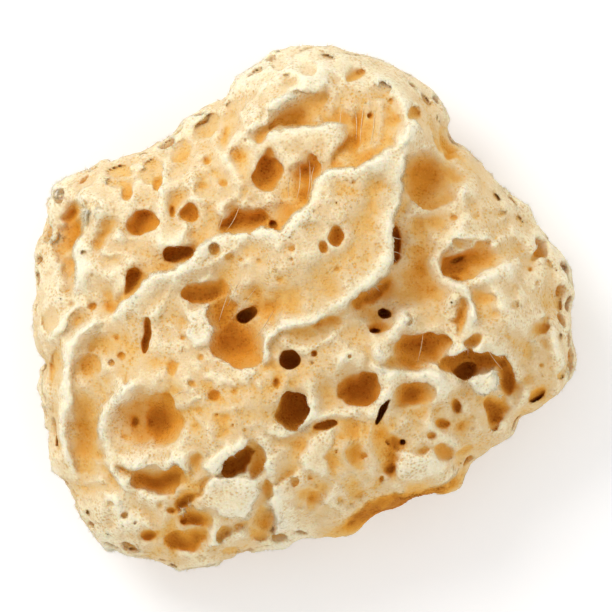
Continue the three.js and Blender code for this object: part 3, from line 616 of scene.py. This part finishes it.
def stain_and_shade_field(x, y):
    """How much darker the skin is than the plain tone, over the view from above: stains, painted shade and
    painted light.
    """
    field = bells(x, y, STAINS_AND_PAINTED_SHADE)
    for outline, _, paler in PLATES:
        field -= paler * smooth_step(inside_outline(x, y, outline), -0.8, 1.4)
    return field


# ---------------------------------------------------------------- hollows

def ellipsoid(u, v, w, half):
    """About the distance from the surface of an ellipsoid, negative inside."""
    near = np.sqrt((u / half[0]) ** 2 + (v / half[1]) ** 2 + (w / half[2]) ** 2)
    slope = np.sqrt((u / half[0] ** 2) ** 2 + (v / half[1] ** 2) ** 2 + (w / half[2] ** 2) ** 2)
    return near * (near - 1) / np.maximum(slope, 1e-4)


def depth_of(hollow):
    """How deep a hollow is cut: a pale one is shallow, and only a black one is as deep as it is given."""
    deep = hollow.deep * (0.45 + 0.55 * hollow.darkness)
    if hollow.darkness < 0.9:
        narrow = min(hollow.rx, hollow.ry)
        deep = min(deep, narrow * (0.9 + 2.2 * hollow.darkness**2) + 2.0 * hollow.darkness)
    return deep


def cut_out(field, painted_shade, part, hollow_field, blend, shade):
    """Takes a hollow out of a part of the field, and stores the painted shade inside it."""
    field[part] = smooth_max(field[part], -hollow_field, blend)
    painted_shade[part] = np.maximum(painted_shade[part], shade)


def cut_top_hollow(field, painted_shade, top, bend, hollow):
    """Takes a hollow out from above. Depth is counted from the skin over it."""
    cx, cy, rx, ry, turn, _, darkness, lean_x, lean_y = hollow
    deep = depth_of(hollow)
    reach = max(rx, ry) + max(abs(lean_x), abs(lean_y)) + 2.5
    xs = slice(*np.searchsorted(axes[0], [cx - reach, cx + reach]))
    ys = slice(*np.searchsorted(axes[1], [cy - reach, cy + reach]))
    here = top[xs, ys]
    if here.size == 0 or here.max() <= 0:
        return
    zs = slice(*np.searchsorted(axes[2], [here[here > 0].min() - deep - 2.5, here.max() + 2.5]))
    x, y, z = np.meshgrid(axes[0][xs], axes[1][ys], axes[2][zs], indexing="ij")
    depth = here[:, :, None] - z
    lean = np.clip(depth / deep, -0.3, 1.1)
    ragged = min(1.1, 0.24 * math.sqrt(rx * ry))
    u0 = x + ragged * bend[0][xs, ys, None] - cx - lean_x * lean
    v0 = y + ragged * bend[1][xs, ys, None] - cy - lean_y * lean
    c, s = math.cos(math.radians(turn)), math.sin(math.radians(turn))
    u, v, w = u0 * c + v0 * s, v0 * c - u0 * s, depth - 0.3 * deep
    hollow_field = ellipsoid(u, v, w, (rx * 1.04, ry * 1.04, 0.7 * deep))
    blend = min(RIM_BLEND, 0.4 * min(rx, ry) + 0.15)
    # painted shade, darkest deep in the hollow
    shade = darkness * smooth_step(0.9 - hollow_field, 0.0, 1.4) * smooth_step(depth, 0.2, 0.4 * deep)
    cut_out(field, painted_shade, (xs, ys, zs), hollow_field, blend, shade)


def scattered_hollows(rough):
    """Small hollows strewn over the rough skin between the listed ones."""
    rng = np.random.default_rng(SEED * 1000 + 30)
    placed = [(hollow.cx, hollow.cy, max(hollow.rx, hollow.ry)) for hollow in HOLLOWS]
    strewn = []
    for _ in range(SCATTER_TRIES):
        cx, cy = rng.uniform(box_low[0], box_high[0]), rng.uniform(box_low[1], box_high[1])
        radius = 0.45 + 0.9 * rng.uniform() ** 3
        turn, stretch = rng.uniform(0, 180), rng.uniform(0.6, 1.0)
        lean = rng.uniform(-0.6, 0.6, 2)
        # the darkness is painted shade inside the hollow, and it also sets how deep the hollow is cut
        deep, darkness = radius * rng.uniform(2.0, 4.5), rng.uniform(0.05, 0.35)
        cell = rough[np.searchsorted(axes[0], cx), np.searchsorted(axes[1], cy)]
        clear = all(math.hypot(cx - px, cy - py) > radius + r + 0.7 for px, py, r in placed)
        if clear and rng.uniform() < cell:
            placed.append((cx, cy, radius))
            strewn.append(Hollow(cx, cy, radius, radius * stretch, turn, deep, darkness, *lean))
    return strewn


def cut_side_hollow(field, painted_shade, place, outward, half, deep, spin, darkness):
    """Takes a hollow out of the flank, straight in against the way that the skin faces."""
    reach = max(half[0], half[1], deep) + 2.0
    cuts = [slice(*np.searchsorted(axis, [p - reach, p + reach])) for axis, p in zip(axes, place)]
    if min(c.stop - c.start for c in cuts) < 2:
        return
    x, y, z = np.meshgrid(*[axis[c] for axis, c in zip(axes, cuts)], indexing="ij")
    across = np.cross(outward, (0.0, 0.0, 1.0))
    across /= max(np.linalg.norm(across), 1e-6)
    upward = np.cross(across, outward)
    first = across * math.cos(spin) + upward * math.sin(spin)
    second = np.cross(outward, first)
    offset = np.stack([x - place[0], y - place[1], z - place[2]], axis=-1)
    u, v = offset @ first, offset @ second
    w = offset @ outward + 0.3 * deep
    hollow_field = ellipsoid(u, v, w, (*half, 0.7 * deep))
    depth = -(offset @ outward)
    # painted shade, darkest deep in the hollow
    shade = darkness * smooth_step(0.9 - hollow_field, 0.0, 1.6) * smooth_step(depth, 0.1, 0.75 * deep)
    cut_out(field, painted_shade, tuple(cuts), hollow_field, min(RIM_BLEND, 0.5 * min(half)), shade)


def surface_samples(field, count, seed):
    """Random places on the surface with the way that the skin faces there."""
    rng = np.random.default_rng(SEED * 1000 + seed)
    cells = np.argwhere(np.abs(field[1:-1, 1:-1, 1:-1]) < 0.5 * STEP) + 1
    cells = cells[rng.permutation(len(cells))[:count]]
    slopes = [field[tuple((cells + step).T)] - field[tuple((cells - step).T)]
              for step in np.eye(3, dtype=int)]
    places = np.stack([axis[c] for axis, c in zip(axes, cells.T)], axis=1)
    return places, unit(np.stack(slopes, axis=1)), rng


def far_apart(places, radii, spacing):
    """Which of the places keep their distance from those before them."""
    kept = []
    for index, place in enumerate(places):
        gaps = [np.linalg.norm(place - places[k]) - spacing * (radii[index] + radii[k]) for k in kept]
        if not gaps or min(gaps) > 0:
            kept.append(index)
    return kept


def on_ledge(x, y):
    """Whether a place is on the smooth ledge below the torn lower right edge."""
    return any(ellipse_radius(x, y, (cx, cy), (rx, ry), turn) < 1 for cx, cy, rx, ry, turn in LEDGE)


def cut_flank_hollows(field, painted_shade, plain):
    """Hollows of three sizes all round the flanks, with painted shade inside."""
    # tries, least and greatest radius, how high they reach, spacing
    sizes = [(260, (3.2, 6.2), 19, 1.12), (1300, (1.5, 3.0), 29, 1.12), (1200, (0.6, 1.4), 26, 1.3)]
    for number, (tries, (least, most), ceiling, spacing) in enumerate(sizes):
        places, outward, rng = surface_samples(plain, tries * 3, 40 + number)
        fits = (places[:, 2] < ceiling + 3 * rng.uniform(-1, 1, len(places))) & (places[:, 2] > 2.5)
        places, outward = places[fits][:tries], outward[fits][:tries]
        radii = least + (most - least) * rng.uniform(0, 1, len(places)) ** 1.6
        for index in far_apart(places, radii, spacing):
            if on_ledge(*places[index][:2]):
                continue
            stretch = rng.uniform(0.6, 1.0)
            half = (radii[index], radii[index] * stretch)
            deep = min(radii[index] * rng.uniform(1.1, 2.0), 8.0)
            tilt = outward[index] + np.array([0, 0, rng.uniform(-0.5, 0.35)])
            tilt /= np.linalg.norm(tilt)
            spin = rng.uniform(0, math.pi)
            cut_side_hollow(field, painted_shade, places[index], tilt, half, deep, spin, rng.uniform(0.25, 0.7))


def flank_relief():
    """Ridges and furrows of the flanks."""
    return 2.4 * ridges(axes, 22, 1) + 1.2 * ridges(axes, 10, 2)


# ---------------------------------------------------------------- the whole field

def bent_places(x, y):
    """Places moved about a little, so that no line comes out even, and the finer part of the move."""
    plan = axes[:2]
    bend = (0.7 * noise(plan, 5, 11) + 0.4 * noise(plan, 2, 12),
            0.7 * noise(plan, 5, 13) + 0.4 * noise(plan, 2, 14))
    bx = x + 0.6 * bend[0] + 0.7 * noise(plan, 9, 17) + 0.3 * noise(plan, 1.8, 22)
    by = y + 0.6 * bend[1] + 0.7 * noise(plan, 9, 18) + 0.3 * noise(plan, 1.8, 23)
    return bx, by, bend


def skin_relief(bx, by, bend, rough, inset):
    """How far the skin stands out from the plain body, over the view from above and before the hollows."""
    plan = axes[:2]
    uneven = 1.6 * ridges(plan, 13, 15) + 0.7 * ridges(plan, 6.5, 16)
    uneven += noise(plan, 10, 19) + 0.8 * noise(plan, 5, 21)
    relief = top_relief(bx, by) + rough * uneven * smooth_step(inset, 1.0, 8.0)
    relief = relief * np.where(relief > 0, smooth_step(inset, 0.5, 6.0), smooth_step(inset, 0.0, 3.0))
    relief += plate_relief(bx + bend[1], by + bend[0]) * smooth_step(inset, 0.0, 2.0)
    return relief


def sponge_fields():
    """Signed distance to the sponge and to its skin before the hollows, and how dark each place is: the
    painted shade in the hollows.
    """
    x, y = np.meshgrid(axes[0], axes[1], indexing="ij")
    plain = closed_body("sponge") + nick_field(x, y)[:, :, None]
    bx, by, bend = bent_places(x, y)
    rough = roughness(x, y)
    inset = -plain.min(axis=2)
    relief = skin_relief(bx, by, bend, rough, inset)
    above = smooth_step(axes[2], TOP_FROM, TOP_TO)[None, None, :]
    top = blurred(top_of(plain - relief[:, :, None] * above), 1.0)
    relief += (rims(bx, by) - funnels(bx, by)) * smooth_step(inset, 0.5, 5.0)
    edge = 0.35 * (1 - smooth_step(inset, 3.0, 12.0))[:, :, None]
    skin = plain - relief[:, :, None] * above - flank_relief() * (1 - above * (1 - edge))
    skin -= 0.35 * noise(axes, 5, 3) + 0.2 * noise(axes, 2.4, 4)
    # painted shade inside the hollows, which the tone reads
    painted_shade = np.zeros(skin.shape, np.float32)
    body = skin.copy()
    for hollow in HOLLOWS + scattered_hollows(rough):
        cut_top_hollow(body, painted_shade, top, bend, hollow)
    cut_flank_hollows(body, painted_shade, plain)
    body = np.maximum(body, -axes[2][None, None, :])
    return body, skin, painted_shade


def surface_mesh(field, name):
    """The surface of a field as one closed mesh, in metres."""
    grid = openvdb.FloatGrid(2.0)
    grid.copyFromArray(np.ascontiguousarray(np.clip(field, -2.0, 2.0)))
    points, quads = grid.convertToQuads(isovalue=0.0)
    points = (points * STEP + [axis[0] for axis in axes]) * MM
    return mesh_from(name, points, quads[:, ::-1])


def mesh_from(name, points, faces):
    """A mesh from arrays of points and of faces that all have the same number of corners."""
    corners = faces.shape[1]
    mesh = bpy.data.meshes.new(name)
    mesh.vertices.add(len(points))
    mesh.vertices.foreach_set("co", points.astype(np.float32).ravel())
    mesh.loops.add(faces.size)
    mesh.loops.foreach_set("vertex_index", faces.astype(np.int32).ravel())
    mesh.polygons.add(len(faces))
    mesh.polygons.foreach_set("loop_start", np.arange(0, faces.size, corners, dtype=np.int32))
    mesh.update(calc_edges=True)
    mesh.validate()
    return mesh


def make_object(name, mesh):
    piece = bpy.data.objects.new(name, mesh)
    bpy.context.scene.collection.objects.link(piece)
    return piece


def with_fewer_triangles(piece, most):
    """Thins out the piece's mesh of four-cornered faces, most where it is flat."""
    thin = piece.modifiers.new("thin", "DECIMATE")
    thin.ratio = min(1.0, most / (2 * len(piece.data.polygons)))
    evaluated = piece.evaluated_get(bpy.context.evaluated_depsgraph_get())
    mesh = bpy.data.meshes.new_from_object(evaluated)
    piece.modifiers.clear()
    piece.data = mesh
    mesh.shade_smooth()


def sampled(field, points):
    """A field's value at points in millimetres, straight between the cells."""
    places = [np.clip((points[:, k] - axes[k][0]) / STEP, 0, field.shape[k] - 1.001) for k in range(3)]
    cells = [p.astype(int) for p in places]
    shares = [p - c for p, c in zip(places, cells)]
    value = np.zeros(len(points))
    for corner in np.ndindex(2, 2, 2):
        weight = np.prod([s if k else 1 - s for s, k in zip(shares, corner)], axis=0)
        value += weight * field[tuple(c + k for c, k in zip(cells, corner))]
    return value


def set_attribute(mesh, name, values):
    attribute = mesh.attributes.new(name, "FLOAT", "POINT")
    attribute.data.foreach_set("value", np.asarray(values, np.float32))


def along_lips(points, offset, breadth):
    """High along the lips, that far over their steep side, and round the torn plates."""
    x, y = points[:, 0], points[:, 1]
    weight = np.zeros(len(points), np.float32)
    for lip in LIPS:
        signed = side_of_line(x, y, smooth_line(lip[0]))[0]
        weight = np.maximum(weight, np.exp(-((signed - offset) / breadth) ** 2))
    for plate in PLATES:
        weight = np.maximum(weight, np.exp(-(inside_outline(x, y, plate[0]) / breadth) ** 2))
    return weight * smooth_step(points[:, 2], 24, 30)


def paint(mesh, body, skin, painted_shade):
    """Stores the tone that the material reads at each point: the stains, with painted shade in hollows, deep
    under the skin, on hollow floors and low on the flanks. Returns it, and how sharp the crest is there.
    """
    points = mesh_points(mesh)
    solid = np.clip(0.5 - body / STEP, 0, 1).astype(np.float32)
    filled = [sampled(blurred(solid, reach), points) for reach, _ in HOLLOW_REACHES]
    # painted shade grows with the depth under the skin
    depth = np.maximum(-sampled(skin, points), 0)
    stain_and_shade = stain_and_shade_field(points[:, 0], points[:, 1]) * smooth_step(points[:, 2], 16, 27)
    # how sunk a place is among its surroundings, which adds painted shade in hollows
    hollow = sum(share * (part - 0.5) for part, (_, share) in zip(filled, HOLLOW_REACHES))
    shade = sampled(painted_shade, points)
    crest = np.clip((0.5 - filled[0]) * 4, 0, 1)
    # darker towards the bottom: painted shade on the lower flanks
    flank = 1 - smooth_step(points[:, 2], 20, 40)
    tone = (SKIN_TONE + HOLLOW_SHADE_TONE * hollow + stain_and_shade + DEPTH_SHADE_TONE * np.minimum(depth, DEEPEST)
            + SHADE_TONE * shade - CREST_TONE * crest + FLANK_SHADE_TONE * flank)
    tone -= LIP_TONE * along_lips(points, -0.5, 1.1)
    set_attribute(mesh, "tone", np.clip(tone, 0, 1))
    return np.clip(tone, 0, 1), crest


# ---------------------------------------------------------------- fibres

def roots_on(mesh, weight, tone, count, rng):
    """Random places on a mesh, thickest where the weight is high: the place, the way out and the tone."""
    points, normals, corners = mesh_points(mesh), rows_of(mesh.vertices, "normal"), triangles_of(mesh)
    a, b, c = points[corners].transpose(1, 0, 2)
    area = np.linalg.norm(np.cross(b - a, c - a), axis=1)
    total = np.cumsum(area * weight[corners].mean(axis=1))
    chosen = corners[np.searchsorted(total, rng.uniform(0, total[-1], count))]
    shares = rng.dirichlet((1, 1, 1), count)[:, :, None]
    places = (points[chosen] * shares).sum(axis=1)
    outward = unit((normals[chosen] * shares).sum(axis=1))
    return places, outward, (tone[chosen] * shares[:, :, 0]).sum(axis=1)


def make_fibre_piece(name, points, faces, tone, material):
    """One piece out of the points of many fibres, in millimetres."""
    mesh = mesh_from(name, points * MM, faces)
    set_attribute(mesh, "tone", tone)
    mesh.materials.append(material)
    piece = make_object(name, mesh)
    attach(piece, "root")


def hairs(name, sponge, material, tone, weight, count, length, breadth, lift, paler, seed):
    """Straight hairs, each a closed spike of four triangles with its root in the skin."""
    rng = np.random.default_rng(SEED * 1000 + seed)
    places, outward, shade = roots_on(sponge.data, weight, tone, count, rng)
    aside = unit(np.cross(outward, rng.normal(size=(count, 3))))
    way = unit(aside + outward * rng.uniform(*lift, (count, 1)))
    across = unit(np.cross(way, outward))
    upward = np.cross(across, way)
    long = rng.uniform(*length, (count, 1))
    half = rng.uniform(0.6, 1.0, (count, 1)) * breadth / 2
    foot = places - 0.15 * way
    corners = [foot + half * across, foot - half * (0.5 * across + 0.87 * upward),
               foot - half * (0.5 * across - 0.87 * upward), places + long * way]
    points = np.stack(corners, axis=1).reshape(-1, 3)
    points[:, 2] = np.maximum(points[:, 2], 0)
    faces = np.array([(0, 2, 1), (0, 1, 3), (1, 2, 3), (2, 0, 3)])
    faces = (faces[None] + 4 * np.arange(count)[:, None, None]).reshape(-1, 3)
    # each hair takes the tone at its root, painted shade included, and its tip is made paler by the given
    # amount
    shades = shade[:, None] - paler * np.array([0.5, 0.5, 0.5, 1.0])
    make_fibre_piece(name, points, faces, np.clip(shades, 0, 1).ravel(), material)


def thread_points(top, line, number):
    """The points of one thread, ring by ring: it bows to one side and rises over what it crosses."""
    ax, ay, bx, by = line
    share = np.linspace(0, 1, THREAD_RINGS)[:, None]
    aside = np.array([ay - by, bx - ax]) / math.hypot(bx - ax, by - ay)
    bow = THREAD_BOW * np.sin(math.pi * share) * math.sin(3 * number)
    x, y = ax + (bx - ax) * share + bow * aside[0], ay + (by - ay) * share + bow * aside[1]
    under = top[np.searchsorted(axes[0], x), np.searchsorted(axes[1], y)]
    z = np.maximum(under, under[0] + (under[-1] - under[0]) * share) + THREAD_LIFT
    half = THREAD_BREADTH / 2 * (0.3 + 0.7 * np.sin(math.pi * share))
    edges = []
    for angle in THREAD_CORNERS:
        out, up = half * math.cos(angle), half * math.sin(angle)
        edges.append(np.hstack([x + out * aside[0], y + out * aside[1], z + up]))
    return np.stack(edges, axis=1).reshape(-1, 3)


def make_threads(material, body):
    """The long threads, each a closed tube of three sides that thins out towards its ends."""
    top = top_of(body)
    links = np.array([(0, 1, 4), (0, 4, 3), (1, 2, 5), (1, 5, 4), (2, 0, 3), (2, 3, 5)])
    last = 3 * THREAD_RINGS
    caps = np.array([(0, 2, 1), (last - 3, last - 2, last - 1)])
    tube = np.concatenate([links + 3 * ring for ring in range(THREAD_RINGS - 1)] + [caps])
    points = np.concatenate([thread_points(top, line, number) for number, line in enumerate(THREADS)])
    faces = np.concatenate([tube + number * last for number in range(len(THREADS))])
    make_fibre_piece("threads", points, faces, np.full(len(points), THREAD_TONE), material)


def make_fibres(sponge, tone, crest, material):
    """The hairs: a fuzz on the crests, a fringe and tufts along the lips, and a felt over the rest."""
    points = mesh_points(sponge.data)
    facing = rows_of(sponge.data.vertices, "normal")[:, 2]
    upper = smooth_step(points[:, 2], 12, 24) * smooth_step(facing, -0.2, 0.4)
    lower = (1 - upper) * smooth_step(points[:, 2], 0.6, 2.0)
    light = np.clip(1.1 - 1.2 * tone, 0.1, 1)
    raised = smooth_step(points[:, 2], 0.4, 1.8)
    fringe = along_lips(points, 0.5, 0.9) * smooth_step(facing, -0.3, 0.2)
    kinds = [
        # name, weight, count, length, breadth, lift, how much paler the tip is, seed
        ("crest_fuzz", (upper * crest**1.5 + 0.02) * raised, 46_000, (0.5, 1.8), 0.16, (0.0, 0.9), 0.2, 61),
        ("fringe", fringe, 12_000, (0.8, 2.4), 0.25, (0.7, 1.8), 0.0, 64),
        ("tufts", fringe, 1_600, (1.2, 3.0), 0.8, (0.5, 1.3), 0.0, 65),
        ("felt", (upper * light + 0.02) * raised, 46_000, (0.8, 2.4), 0.13, (0.0, 0.3), 0.06, 62),
        ("flank_fuzz", (lower * light + 0.01) * raised, 46_000, (0.5, 1.4), 0.13, (0.0, 0.5), 0.02, 63),
    ]
    for name, weight, *looks in kinds:
        hairs(name, sponge, material, tone, weight, *looks)


# ---------------------------------------------------------------- materials

def node_maker(material):
    """A function that adds a node with its settings and with its inputs set or linked."""
    material.use_nodes = True
    tree = material.node_tree
    tree.nodes.clear()

    def add(kind, inputs=(), **settings):
        node = tree.nodes.new(kind)
        for key, value in settings.items():
            setattr(node, key, value)
        for key, value in dict(inputs).items():
            if isinstance(value, bpy.types.NodeSocket):
                tree.links.new(value, node.inputs[key])
            else:
                node.inputs[key].default_value = value
        return node

    return add


def ramp_node(add, factor, stops):
    """The colour that a row of stops gives for a factor."""
    node = add("ShaderNodeValToRGB", {"Fac": factor})
    elements = node.color_ramp.elements
    while len(elements) > 1:
        elements.remove(elements[-1])
    elements[0].position, elements[0].color = stops[0][0], (*stops[0][1], 1)
    for position, colour in stops[1:]:
        elements.new(position).color = (*colour, 1)
    return node.outputs["Color"]


def mapped(add, value, low, high, to_low, to_high):
    """The value moved from one range to another, and held within it."""
    return add("ShaderNodeMapRange", {"Value": value, 1: low, 2: high, 3: to_low, 4: to_high}).outputs[0]


def worked_out(add, operation, *values):
    """What an operation makes of its values."""
    return add("ShaderNodeMath", dict(enumerate(values)), operation=operation).outputs[0]


# From cream where the skeleton stands up, over amber, to brown where it is hollow; in the hollows the amber
# and brown are partly painted shade, which the tone carries
SKIN_COLOURS = [
    (0.00, (0.95, 0.86, 0.64)),
    (0.18, (0.88, 0.745, 0.48)),
    (0.34, (0.80, 0.60, 0.34)),
    (0.48, (0.79, 0.56, 0.275)),
    (0.62, (0.80, 0.475, 0.14)),
    (0.80, (0.75, 0.32, 0.032)),
    (1.00, (0.45, 0.135, 0.005)),
]


def skeleton_material(name, softness):
    """Spongin, coloured by its tone, which holds stains and painted shade, with blotches, pores and a fine
    felt of fibres.
    """
    material = bpy.data.materials.new(name)
    add = node_maker(material)
    place = add("ShaderNodeTexCoord").outputs["Object"]
    toned = add("ShaderNodeAttribute", attribute_name="tone").outputs["Fac"]
    blotch = add("ShaderNodeTexNoise", {"Vector": place, "Scale": 160.0, "Detail": 4.0, "Roughness": 0.6})
    speck = add("ShaderNodeTexNoise", {"Vector": place, "Scale": 1800.0, "Detail": 2.0, "Roughness": 0.7})
    pores = add("ShaderNodeTexVoronoi", {"Vector": place, "Scale": 1150.0, "Randomness": 1.0})
    prick = mapped(add, pores.outputs["Distance"], 0.14, 0.50, 1.0, 0.0)
    patch = mapped(add, blotch.outputs["Fac"], 0.42, 0.60, 0.25, 1.0)
    pricked = worked_out(add, "MULTIPLY", prick, patch)
    open_skin = mapped(add, toned, 0.40, 0.70, 1.0, 0.25)
    for layer, share in ((blotch.outputs["Fac"], 0.2), (speck.outputs["Fac"], 0.46), (pricked, 0.38)):
        centred = worked_out(add, "MULTIPLY_ADD", layer, share, -share / 2)
        toned = worked_out(add, "MULTIPLY_ADD", centred, open_skin, toned)
    height = worked_out(add, "SUBTRACT", speck.outputs["Fac"], pricked)
    bump = add("ShaderNodeBump", {"Height": height, "Strength": 0.55, "Distance": 0.0005})
    shader = add("ShaderNodeBsdfPrincipled", {
        "Base Color": ramp_node(add, toned, SKIN_COLOURS), "Roughness": 0.92, "Specular IOR Level": 0.15,
        "Subsurface Weight": softness, "Subsurface Radius": (1.0, 0.6, 0.25), "Subsurface Scale": 0.0014,
        "Normal": bump.outputs["Normal"]})
    add("ShaderNodeOutputMaterial", {"Surface": shader.outputs["BSDF"]})
    return material


def floor_material():
    """A pale card that gives off a little light, so that it comes out white."""
    material = bpy.data.materials.new("pale_floor")
    add = node_maker(material)
    place = add("ShaderNodeTexCoord").outputs["Object"]
    mottle = add("ShaderNodeTexNoise", {"Vector": place, "Scale": 40.0, "Detail": 2.0})
    colour = ramp_node(add, mottle.outputs["Fac"], [(0.0, (0.93, 0.93, 0.93)), (1.0, (0.95, 0.95, 0.95))])
    shader = add("ShaderNodeBsdfPrincipled", {
        "Base Color": colour, "Roughness": 0.9, "Specular IOR Level": 0.1,
        "Emission Color": (1, 1, 1, 1), "Emission Strength": 0.15})
    add("ShaderNodeOutputMaterial", {"Surface": shader.outputs["BSDF"]})
    return material


# ---------------------------------------------------------------- stage, light and camera

def make_stage():
    """The floor, which belongs to the picture and not to the part."""
    mesh = bpy.data.meshes.new("floor")
    corners = [(FLOOR_HALF * x, FLOOR_HALF * y, 0) for x, y in ((-1, -1), (1, -1), (1, 1), (-1, 1))]
    mesh.from_pydata(corners, [], [(0, 1, 2, 3)])
    floor = make_object("floor", mesh)
    floor.location.z = -FLOOR_GAP
    mesh.materials.append(floor_material())


def make_light(name, place, size, watts, colour):
    """A round lamp that looks at the origin."""
    lamp = bpy.data.lights.new(name, "AREA")
    lamp.shape, lamp.size, lamp.energy, lamp.color = "DISK", size, watts, colour
    light = bpy.data.objects.new(name, lamp)
    bpy.context.scene.collection.objects.link(light)
    light.location = place
    light.rotation_euler = (-light.location).to_track_quat("-Z", "Y").to_euler()


def make_lights():
    make_light("key", (-0.7, 0.8, 1.1), 0.8, 9.6, (1.0, 1.0, 1.0))
    make_light("fill", (0.9, -0.4, 1.0), 1.4, 1.0, (1.0, 1.0, 1.0))
    world = bpy.data.worlds.new("studio")
    world.use_nodes = True
    background = world.node_tree.nodes["Background"]
    background.inputs["Color"].default_value = (1.0, 1.0, 1.0, 1)
    background.inputs["Strength"].default_value = 0.80
    bpy.context.scene.world = world
    bpy.context.scene.view_settings.view_transform = "Standard"


def make_camera():
    """A long lens straight above the sponge."""
    camera_data = bpy.data.cameras.new("camera")
    camera_data.lens = camera_data.sensor_width * CAMERA_DISTANCE / VIEW_BREADTH
    camera_data.clip_end = 20.0
    camera = bpy.data.objects.new("camera", camera_data)
    bpy.context.scene.collection.objects.link(camera)
    camera.location = (0, 0, (WAIST + CAMERA_DISTANCE) * MM)
    bpy.context.scene.camera = camera


# ---------------------------------------------------------------- putting it together

body, skin, painted_shade = sponge_fields()
sponge = make_object("sponge_skeleton", surface_mesh(body, "sponge_skeleton"))
with_fewer_triangles(sponge, MOST_TRIANGLES)
tone, crest = paint(sponge.data, body, skin, painted_shade)
sponge.data.materials.clear()
sponge.data.materials.append(skeleton_material("sponge_skeleton", 0.4))
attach(sponge, "root")
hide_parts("sponge")
fibre = skeleton_material("sponge_fibre", 0.0)
make_threads(fibre, body)
make_fibres(sponge, tone, crest, fibre)

make_stage()
make_lights()
make_camera()
